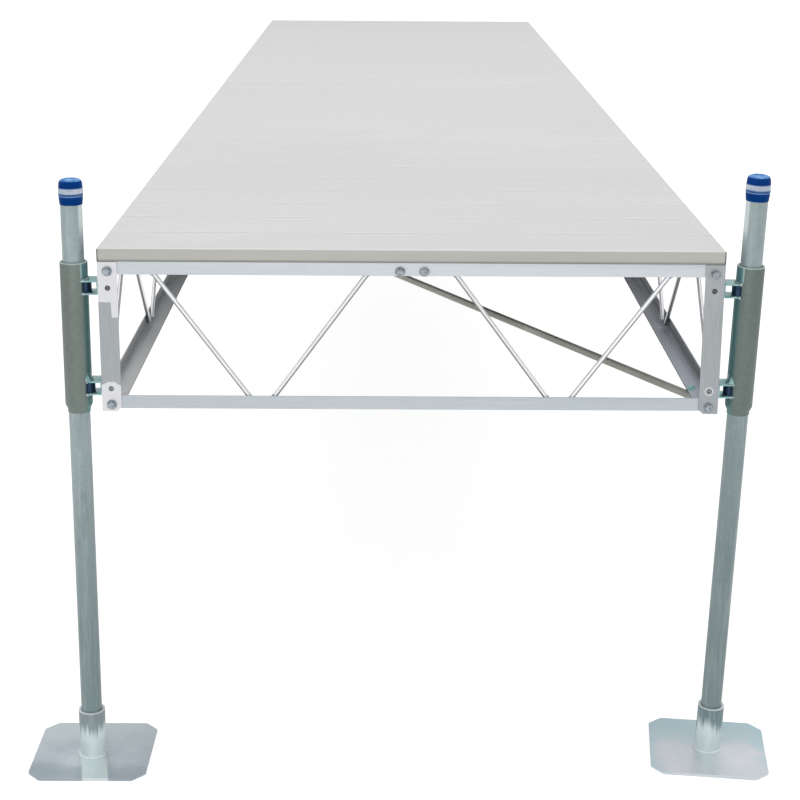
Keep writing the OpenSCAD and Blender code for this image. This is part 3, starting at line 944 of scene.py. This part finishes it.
def build_post(end, facing, side, inward):
    """A corner post: an end flange with two holes and a cut corner, and a side flange."""
    node = f"{end}_{side}_post"
    lo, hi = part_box(node)
    wide, deep, tall = spans(lo, hi)
    outer = lo.x if inward > 0 else hi.x
    front = lo.y if facing > 0 else hi.y
    holes = [(wide / 2, z - lo.z, HOLE_R) for z in (Z_TOP - HOLE_UP, Z_LOW + HOLE_LOW)]
    outline = fillet([(0, 0), (wide - POST_CUT, 0), (wide, POST_CUT), (wide, tall), (0, tall)],
                     [0.0008, 0.0015, 0.0015, 0.0015, 0.0008], 2)
    flange = placed((outer, front, lo.z), (inward, 0, 0), UP, (0, facing, 0))
    shape = Shape().add(curve_plate(node, outline, holes, ANGLE_T, 0.0006), flange)
    depth = deep - ANGLE_T
    section = fillet([(0, 0), (depth, 0), (depth, ANGLE_T), (0, ANGLE_T)],
                     [0, 0.0012, 0.0012, 0], 2)
    plate = placed((outer, front + facing * ANGLE_T, lo.z), (0, facing, 0), (inward, 0, 0), UP)
    shape.add(extrusion(section, tall), plate)
    shape.piece(f"{end}_{side}_corner_post", "dock", "post", [node], [node])


def build_cross_members():
    """Channels under the panel joints."""
    t = ANGLE_T
    for number in range(1, PANELS):
        node = f"cross_member_{number}"
        lo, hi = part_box(node)
        length, wide, tall = spans(lo, hi)
        section = fillet([(0, 0), (t, 0), (t, tall - t), (wide - t, tall - t), (wide - t, 0),
                          (wide, 0), (wide, tall), (0, tall)], [0.0008, 0.0008, 0.002, 0.002] * 2)
        shape = Shape().add(extrusion(section, length), placed(lo, *DRAWN_X))
        shape.piece(f"cross_channel_{number}", "dock", "frame", ["cross"], [node])


def build_braces():
    """The two diagonal angles under the frame."""
    for end, _ in ENDS:
        node = f"{end}_brace"
        points = islands(node)[0]
        centre = points.mean(0)
        flat = points[:, :2] - centre[:2]
        axis = np.linalg.svd(flat)[2][0]
        along = flat @ axis
        side = np.array((-axis[1], axis[0]))
        across = flat @ side
        wide, t = across.max() - across.min(), BRACE_T
        lo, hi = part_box(node)
        tall = hi.z - lo.z
        deep = points[points[:, 2] < lo.z + 1e-5]
        leg_side = 1 if ((deep[:, :2] - centre[:2]) @ side).mean() > 0 else -1
        edge = across.max() if leg_side > 0 else across.min()
        corner = centre[:2] + axis * along.min() + side * edge
        section = fillet([(0, 0), (wide, 0), (wide, t), (t, t), (t, tall), (0, tall)],
                         [0.0006, 0.0006, 0.0009, 0.0018, 0.0009, 0.0006], 2)
        place = placed((*corner, hi.z), (*(-leg_side * side), 0), (0, 0, -1), (*axis, 0))
        shape = Shape().add(extrusion(section, along.max() - along.min()), place)
        shape.piece(f"{end}_plan_brace", "dock", "brace", ["brace"], [node])


def build_rods():
    """Web rods with eased ends, and the weld beads that hold them."""
    for group, wall in (("front", (0, -1, 0)), ("rear", (0, 1, 0)), ("left", (-1, 0, 0)),
                        ("right", (1, 0, 0))):
        node, wall = f"{group}_web_rods", Vector(wall)
        rods, welds = Shape(), Shape()
        solids = sorted(islands(node), key=lambda solid: tuple(solid.mean(0)[1::-1]))
        for number, solid in enumerate(solids):
            low, high, radius = rod_ends(solid)
            kind = 0 if group in ("front", "rear") else 2 if number == 1 else 1
            length, ease = (high - low).length, ROD_EASE
            outline = [(0, 0), (radius - ease, 0), (radius, ease), (radius, length - ease),
                       (radius - ease, length), (0, length)]
            rods.add(lathe(outline, ROD_SIDES), frame_at(low, high - low), kind)
            axis = (high - low).normalized()
            across = axis.cross(wall).normalized()
            for at, sign in ((low, 1), (high, -1)):
                for flank in (-1, 1):
                    line = [at + axis * sign * (0.0005 + ROD_WELD_STEP * k)
                            + across * flank * radius * 0.86 + wall * radius * 0.72
                            for k in range(7)]
                    welds.add(bead(line, ROD_WELD_R, f"{group}{number}{sign}{flank}"))
        rods.piece(f"{group}_rods", "dock", "rod", ["rod", "side_rod", "dark_rod"], [node])
        welds.piece(f"{group}_rod_welds", "dock", "frame", ["weld"], (), 60)


# ---------------------------------------------------------------- leg holders and legs


def leg_place(side, lift=0.0):
    """The matrix from an upright leg's axis, at true heights, to the leaning one's place."""
    lo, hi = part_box(f"{side}_lower_bracket")
    x = X_MID + sided(side, -1, 1) * (HALF + LEG_OUT)
    pivot = Matrix.Translation((x, (lo.y + hi.y) / 2, Z_BRACKETS))
    lean = Matrix.Rotation(LEG_LEAN[side], 4, "Y") @ Matrix.Rotation(LEG_TILT[side], 4, "X")
    return pivot @ lean @ Matrix.Translation((0, 0, lift - Z_BRACKETS))


def leg_at(side, z, lift=0.0):
    """The place on a leg's axis that starts from a height."""
    return leg_place(side, lift) @ Matrix.Translation((0, 0, z))


def leg_level(side, z, lift=0.0):
    """A leg's upward direction, and how far along it a height on its axis lies."""
    place = leg_place(side, lift)
    up = place.to_3x3() @ Vector(UP)
    return up, (place @ Vector((0, 0, z))).dot(up)


def leg_axis(side, z):
    """The point of a leg's axis at a height, with z 0."""
    place = leg_place(side)
    low, high = place @ Vector((0, 0, Z_GROUND)), place @ Vector((0, 0, Z_DECK))
    spot = low.lerp(high, (z - low.z) / (high.z - low.z))
    return Vector((spot.x, spot.y, 0))


def tube_rim(bore, tall):
    """The outline of a sleeve's or a socket's rounded upper rim, from outside in."""
    return [(SLEEVE_R, tall - 0.0012), (SLEEVE_R - 0.0004, tall - 0.0003),
            (SLEEVE_R - 0.0012, tall), (bore + 0.001, tall), (bore + 0.0003, tall - 0.0003),
            (bore, tall - 0.001)]


def build_sleeve(side):
    """The sleeve tube, rounded at the rim and drawn in at its lower end."""
    collar, full = SLIDE_R + COLLAR_T, COLLAR_L + TAPER_L
    outline = [(SLIDE_R, 0.0004), (SLIDE_R + 0.0003, 0), (collar - 0.0003, 0), (collar, 0.0004),
               (collar, COLLAR_L - 0.001), (collar + 0.0005, COLLAR_L + 0.0006),
               (SLEEVE_R - 0.0006, full - 0.0012), (SLEEVE_R, full + 0.001),
               *tube_rim(BORE_R, SLEEVE_L), (BORE_R, full), (SLIDE_R, full - 0.001)]
    Shape().add(lathe(outline, TUBE_SIDES), leg_at(side, SLEEVE_LOW)).piece(
        f"{side}_sleeve_tube", "dock", "sleeve", [f"{side}_sleeve"], [f"{side}_sleeve"], 30)


def bracket_mesh(side, node):
    """A channel with eased bends, cut round the sleeve."""
    lo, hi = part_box(node)
    deep, wide, tall = spans(lo, hi)
    t, web = BRACKET_T, BRACKET_WEB
    section = fillet([(0, 0), (deep, 0), (deep, t), (web, t), (web, tall - t), (deep, tall - t),
                      (deep, tall), (0, tall)], [web, 0, 0, 0.001, 0.001, 0, 0, web])
    place = placed((sided(side, hi.x, lo.x), lo.y + BRACKET_IN, lo.z), (sided(side, -1, 1), 0, 0),
                   UP, AHEAD)
    body = Shape().add(extrusion(section, wide - 2 * BRACKET_IN), place)
    radius = SLEEVE_R + 0.0001
    drum = [(0, -0.01), (radius, -0.01), (radius, tall + 0.01), (0, tall + 0.01)]
    cutter = Shape().add(lathe(drum, CUT_SIDES), leg_at(side, lo.z))
    made = []
    for part, shape in (("body", body), ("cut", cutter)):
        mesh = shape.mesh(f"{node}_{part}")
        face_outward(mesh)
        made.append(linked(mesh.name, mesh))
    cut = made[0].modifiers.new("cut", "BOOLEAN")
    cut.operation, cut.object, cut.solver = "DIFFERENCE", made[1], "EXACT"
    ease = made[0].modifiers.new("ease", "BEVEL")
    ease.width, ease.segments, ease.limit_method = 0.0004, 2, "ANGLE"
    ease.angle_limit = math.radians(50)
    graph = bpy.context.evaluated_depsgraph_get()
    mesh = bpy.data.meshes.new_from_object(made[0].evaluated_get(graph))
    for obj in made:
        old = obj.data
        bpy.data.objects.remove(obj)
        bpy.data.meshes.remove(old)
    return mesh


def polar(centre, radius, angle, z=0.0):
    """The point at a radius and an angle in degrees about a leg's axis."""
    turn = math.radians(angle)
    return centre.x + radius * math.cos(turn), centre.y + radius * math.sin(turn), z


def arc_line(centre, radius, z, start, end, count):
    """Points on an arc about a leg's axis, from start to end in degrees."""
    return [polar(centre, radius, start + (end - start) * k / (count - 1), z)
            for k in range(count)]


def weld_flare(centre, z, angle, seed):
    """A tall fillet of weld on a bracket's flange against the sleeve, at that angle."""
    draw = random.Random(seed)
    turn = math.radians(angle)
    out = Vector((math.cos(turn), math.sin(turn), 0))
    along = Vector((-math.sin(turn), math.cos(turn), 0))
    rings, count, steps = [], 9, 6
    for i in range(count):
        share = i / (count - 1)
        swell = math.sin(math.pi * share) ** 0.7
        bow = SLEEVE_R - math.sqrt(max(SLEEVE_R ** 2 - (FLARE_W * (share - 0.5)) ** 2, 0))
        foot = centre + out * (SLEEVE_R - 0.0008 - bow) + along * FLARE_W * (share - 0.5)
        reach, tall = FLARE_REACH * swell + 0.0006, FLARE_H * swell + 0.0006
        ring = []
        for k in range(steps + 1):
            part = k / steps * math.pi / 2
            r = reach * (1 - math.sin(part)) ** 0.8
            h = tall * (1 - math.cos(part)) ** 0.9
            jig = 1 + 0.05 * draw.uniform(-1, 1)
            ring.append(foot + out * (r * jig + 0.0006) + Vector((0, 0, z + h * jig)))
        low = Vector((0, 0, z - 0.0004))
        rings.append(ring + [foot + Vector((0, 0, z + tall)), foot + low, foot + out * reach + low])
    return skin(rings)


def shade_pad(centre, tall, toward, seed):
    """A curved pad on the sleeve between a bracket's flanges, shaped as a root weld and dark navy
    as painted shade.
    """
    draw = random.Random(seed)
    outline, count, reach = [], 15, 37
    for k in range(count):
        share = 2 * k / (count - 1) - 1
        lump = 1 + 0.06 * draw.uniform(-1, 1)
        thick = 0.0004 + 0.0060 * math.cos(share * math.pi / 2) ** 0.5 * lump
        outline.append(polar(centre, SLEEVE_R + thick, toward + reach * share)[:2])
    for k in range(count):
        angle = toward + reach - 2 * reach * k / (count - 1)
        outline.append(polar(centre, SLEEVE_R - 0.0004, angle)[:2])
    return extrusion(outline, tall)


def add_bracket_welds(welds, side, node, toward):
    """Beads above and below a bracket along the sleeve, with a blob at each end."""
    lo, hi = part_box(node)
    spread, tips = 42, 44
    for z, lift in ((lo.z, -1), (hi.z, 1)):
        centre = leg_axis(side, z)
        line = arc_line(centre, SLEEVE_R + 0.0006, z + lift * 0.0006, toward - spread,
                        toward + spread, 17)
        welds.add(bead(line, 0.0018, f"{node}{lift}"))
        for tip in (-1, 1):
            spot = Vector(polar(centre, SLEEVE_R + 0.0018, toward + tip * tips, z - lift * 0.0012))
            blob = [spot + Vector((0, 0, 0.0016 * (k - 2))) for k in range(5)]
            welds.add(bead(blob, 0.0030, f"{node}{lift}{tip}", 10, 0.1))


def add_bracket_bolts(bolts, side, node, kind, end_kind, drop):
    """A bolt head in the channel, and a nut and bolt end behind the post."""
    lo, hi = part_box(node)
    out, middle, post_face = sided(side, -1, 1), (lo.z + hi.z) / 2, sided(side, hi.x, lo.x)
    spot = (post_face + out * 0.0024, lo.y + 0.030, middle)
    bolts.add(hexagon_head(*BRACKET_HEAD), frame_at(spot, (out, 0, 0)), kind)
    inner = Vector((post_face - out * ANGLE_T, lo.y + 0.0195, middle - drop))
    bolts.add(hexagon_head(*BRACKET_NUT), frame_at(inner, (-out, 0, 0)), kind)
    end = inner + Vector((-out * 0.006, 0, 0))
    bolts.add(threaded_end(*BRACKET_THREAD), frame_at(end, (-out, 0, 0)), end_kind)


def build_brackets(side):
    """Both channel brackets of a side, their welds to the sleeve and their bolts."""
    toward = sided(side, 0, 180)
    welds, pads, bolts = Shape(), Shape(), Shape()
    for level, bolt in BRACKET_BOLTS.items():
        node = f"{side}_{level}_bracket"
        lo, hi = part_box(node)
        mesh = bracket_mesh(side, node)
        mesh.materials.clear()
        mesh.materials.append(LOOKS["bracket"])
        piece_of(mesh, f"{side}_{level}_channel", "dock", [node], 30)
        add_bracket_welds(welds, side, node, toward)
        # A dark pad between the flanges stands for the shade there: painted shade.
        pad = shade_pad(leg_axis(side, (lo.z + hi.z) / 2), hi.z - lo.z - 2 * BRACKET_T, toward, node)
        pads.add(pad, Matrix.Translation((0, 0, lo.z + BRACKET_T)))
        if level == "lower":
            angle = toward + sided(side, -22, 22)
            welds.add(weld_flare(leg_axis(side, hi.z), hi.z, angle, node), kind=1)
        add_bracket_bolts(bolts, side, node, *bolt)
    welds.piece(f"{side}_bracket_welds", "dock", "bracket", ["weld", "bracket"], (), 60)
    pads.piece(f"{side}_bracket_shade_pads", "dock", "bracket", ["shade_pad"], (), 40)
    bolts.piece(f"{side}_bracket_bolts", "dock", "bracket", ["bolt", "dark_bolt", "bright_weld"],
                (), 30)


def build_set_screws(side):
    """The screws that clamp the pipe, with their welded nuts, behind sleeve and socket."""
    spots = (("sleeve", "dock", "bracket", Z_BRACKETS),
             ("socket", f"{side}_leg", "foot", SOCKET_LOW + SOCKET_H * 0.6))
    for name, body, slot, z in spots:
        seat = (leg_place(side) @ Matrix.Translation((0, SLEEVE_R - 0.0004, z))
                @ frame_at((0, 0, 0), AHEAD))
        shape = Shape().add(hexagon_head(*SCREW_NUT), seat)
        shape.add(threaded_end(*SCREW_THREAD), seat @ Matrix.Translation((0, 0, 0.007)))
        shape.add(hexagon_head(*SCREW_HEAD), seat @ Matrix.Translation((0, 0, 0.0195)))
        shape.piece(f"{side}_{name}_set_screw", body, slot, ["bolt"], (), 30)


def build_pipe(side, body):
    """A leg's pipe, from just above its foot plate up into its cap."""
    bore, ease = PIPE_R - PIPE_T, 0.0005
    outline = [(bore, ease), (bore + ease, 0), (PIPE_R - ease, 0), (PIPE_R, ease),
               (PIPE_R, PIPE_L - ease), (PIPE_R - ease, PIPE_L), (bore + ease, PIPE_L),
               (bore, PIPE_L - ease)]
    Shape().add(lathe(outline, TUBE_SIDES), leg_at(side, SOCKET_LOW, LEG_LIFT[side])).piece(
        f"{side}_leg_pipe", body, "pipe", [f"{side}_pipe"], [f"{side}_pipe"], 30)


def build_cap(side, body):
    """A vinyl cap: soft top edge, shallow dish on top, drawn in a little at both ends."""
    inner, neck, soft = PIPE_R + 0.0001, CAP_R - 0.0010, CAP_ROUND
    outline = [(inner, 0.0004), (inner + 0.0003, 0), (CAP_R - 0.0023, 0), (CAP_R - 0.0018, 0.0005),
               (CAP_R - 0.0016, 0.003), (CAP_R - 0.0008, 0.2 * CAP_H), (CAP_R, 0.45 * CAP_H),
               (CAP_R - 0.0004, 0.65 * CAP_H)]
    for k in range(9):
        turn = math.pi / 2 * k / 8
        outline.append((neck - soft + soft * math.cos(turn), CAP_H - soft + soft * math.sin(turn)))
    outline += [(neck - soft - 0.0025, CAP_H - 0.0003), (neck * 0.45, CAP_H - 0.0009),
                (neck * 0.2, CAP_H - 0.0012), (0, CAP_H - 0.0013), (0, CAP_H - CAP_T),
                (inner, CAP_H - CAP_T)]
    Shape().add(lathe(outline, CAP_SIDES), leg_at(side, CAP_LOW, LEG_LIFT[side])).piece(
        f"{side}_vinyl_cap", body, "cap", [f"{side}_cap"], [f"{side}_cap"], 40)


def build_foot(side, body):
    """The foot plate, its socket and the weld between them."""
    outline = [(SOCKET_BORE, -0.001), (SLEEVE_R, -0.001), *tube_rim(SOCKET_BORE, SOCKET_H)]
    Shape().add(lathe(outline, TUBE_SIDES), leg_at(side, SOCKET_LOW)).piece(
        f"{side}_foot_socket", body, "foot", [f"{side}_socket"], [f"{side}_socket"], 30)
    ring = arc_line(leg_axis(side, SOCKET_LOW), SLEEVE_R + 0.0008, SOCKET_LOW + 0.0010, 0, 360, 73)
    Shape().add(bead(ring, 0.0032, f"{side}ring", 8, 0.06)).piece(
        f"{side}_foot_weld", body, "foot", ["bright_weld"], (), 60)
    wide, long, _ = spans(*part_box("left_foot"))
    a, b, cut = wide / 2, long / 2, FOOT_CUT
    outline = fillet([(cut - a, -b), (a - cut, -b), (a, cut - b), (a, b - cut), (a - cut, b),
                      (cut - a, b), (-a, b - cut), (-a, cut - b)], [FOOT_ROUND] * 8)
    lo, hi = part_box(f"{side}_foot")
    middle = (lo + hi) / 2
    turn = Matrix.Rotation(sided(side, 0.0, FOOT_TURN), 4, "Z")
    plate = curve_plate(f"{side}_plate", outline, [], hi.z - lo.z, 0.0008)
    Shape().add(plate, Matrix.Translation((middle.x, middle.y, lo.z)) @ turn).piece(
        f"{side}_foot_plate", body, "foot", [f"{side}_foot"], [f"{side}_foot"], 30)


# ---------------------------------------------------------------- fasteners


def build_bolts():
    """Flanged bolts through the posts and the rails' middles, with nuts inside the rails."""
    for end, inward in ENDS:
        face = Y_FRONT if end == "front" else Y_REAR
        rail, back = face + inward * ANGLE_T, face + inward * 2 * ANGLE_T
        post = face if end == "front" else rail
        spots = [(X_MID + side * (HALF - BOLT_IN), post, z) for side in (-1, 1)
                 for z in (Z_TOP - BOLT_UP, Z_LOW + BOLT_LOW)]
        spots += [(X_MID + offset, rail, Z_TOP - RAIL_BOLT_DOWN) for offset in RAIL_BOLTS]
        shape = Shape()
        for spot in spots:
            shape.add(hexagon_head(*RAIL_HEAD), frame_at(spot, (0, -1, 0)))
        for offset in RAIL_BOLTS:
            seat = frame_at((X_MID + offset, back, Z_TOP - RAIL_BOLT_DOWN), (0, inward, 0))
            shape.add(hexagon_head(*RAIL_NUT), seat)
            shape.add(threaded_end(*RAIL_THREAD), seat @ Matrix.Translation((0, 0, 0.006)))
        if end == "front":
            spot = (X_MID + CHORD_BOLT_X, Y_FRONT + CHORD_BOLT_Y, Z_LOW + ANGLE_T)
            shape.add(hexagon_head(*CHORD_HEAD), frame_at(spot, UP), 1)
        shape.piece(f"{end}_bolts", "dock", "frame", ["bolt", "bolt_end"], (), 30)


# ---------------------------------------------------------------- stage


def build_stage():
    """A plain pale floor, a white world and soft lamps."""
    mesh = bpy.data.meshes.new("floor")
    mesh.from_pydata([(X_MID + x * FLOOR_HALF, Y_MID + y * FLOOR_HALF, Z_GROUND)
                      for x, y in ((-1, -1), (1, -1), (1, 1), (-1, 1))], [], [(0, 1, 2, 3)])
    floor = linked("floor", mesh)
    mesh.materials.append(floor_material())
    build_world()
    add_lamp("lamp_above", (X_MID, Y_FRONT + 1.7, Z_DECK + 5.0), (X_MID, Y_FRONT + 1.8, Z_DECK),
             8.0, 180)
    add_lamp("lamp_front", (X_MID - 0.8, Y_FRONT - 4.8, Z_DECK + 1.6), (X_MID, Y_FRONT, Z_LOW),
             2.6, 32)


def close_tree(tree, rays, output, unseen, seen):
    """One shader for camera, mirrored and refracted rays, and another for all the others."""
    mask = rays["Is Camera Ray"]
    for kind in ("Is Glossy Ray", "Is Transmission Ray"):
        mask = node_in(tree, "Math", {0: mask, 1: rays[kind]}, operation="MAXIMUM").outputs[0]
    pick = node_in(tree, "MixShader", {0: mask, 1: unseen.outputs[0], 2: seen.outputs[0]})
    node_in(tree, output, {"Surface": pick.outputs[0]})


def floor_material():
    """Pale grey as a surface that lights the part, and close to white where it is seen."""
    material = bpy.data.materials.new("floor")
    material.use_nodes = True
    tree = material.node_tree
    tree.nodes.clear()
    plain = node_in(tree, "BsdfDiffuse", {"Color": (0.75, 0.75, 0.75, 1)})
    lit = node_in(tree, "BsdfDiffuse", {"Color": (0.44, 0.44, 0.44, 1)})
    glow = node_in(tree, "Emission", {"Strength": 0.785})
    seen = node_in(tree, "AddShader", {0: lit.outputs[0], 1: glow.outputs[0]})
    rays = node_in(tree, "LightPath", {}).outputs
    close_tree(tree, rays, "OutputMaterial", plain, seen)
    return material


def build_world():
    """White where it is seen, a little duller in a mirror, and dimmer as a light."""
    world = bpy.data.worlds.new("studio")
    bpy.context.scene.world = world
    world.use_nodes = True
    tree = world.node_tree
    tree.nodes.clear()
    rays = node_in(tree, "LightPath", {}).outputs
    dim = node_in(tree, "Background", {"Color": (0.985, 0.993, 1.0, 1), "Strength": 0.62})
    level = node_in(tree, "Math", {0: rays["Is Camera Ray"], 1: 0.2, 2: 0.8},
                    operation="MULTIPLY_ADD")
    white = node_in(tree, "Background", {"Color": (1, 1, 1, 1), "Strength": level.outputs[0]})
    close_tree(tree, rays, "OutputWorld", dim, white)


def add_lamp(name, place, target, size, power):
    """A square soft lamp that looks at a point."""
    lamp = bpy.data.lights.new(name, "AREA")
    lamp.shape, lamp.size, lamp.energy = "SQUARE", size, power
    obj = linked(name, lamp)
    obj.location = place
    obj.rotation_euler = (Vector(target) - Vector(place)).to_track_quat("-Z", "Y").to_euler()


def build_camera():
    """A camera at standing height in front of the leg end, looking down along the deck."""
    yaw, pitch, roll = math.radians(-0.35), math.radians(-14.873), math.radians(0.393)
    camera = bpy.data.cameras.new("camera")
    camera.lens, camera.sensor_width = 75.08, 36
    camera.shift_y, camera.clip_end = -0.1157, 200
    obj = linked("camera", camera)
    obj.location = (X_MID - 0.0412, Y_FRONT - 3.1439, Z_DECK + 0.7207)
    turn = (Matrix.Rotation(yaw, 4, "Z") @ Matrix.Rotation(math.pi / 2 + pitch, 4, "X")
            @ Matrix.Rotation(roll, 4, "Z"))
    obj.rotation_euler = turn.to_euler()
    bpy.context.scene.camera = obj


build_camera()
make_looks()
build_deck()
build_rails()
for end_name, end_facing in ENDS:
    for side_name, side_inward in SIDES:
        build_post(end_name, end_facing, side_name, side_inward)
build_cross_members()
build_braces()
build_rods()
for leg_side, _ in SIDES:
    build_sleeve(leg_side)
    build_brackets(leg_side)
    build_set_screws(leg_side)
    build_pipe(leg_side, f"{leg_side}_leg")
    build_cap(leg_side, f"{leg_side}_leg")
    build_foot(leg_side, f"{leg_side}_leg")
build_bolts()
build_stage()
bpy.context.scene.view_settings.view_transform = "Standard"
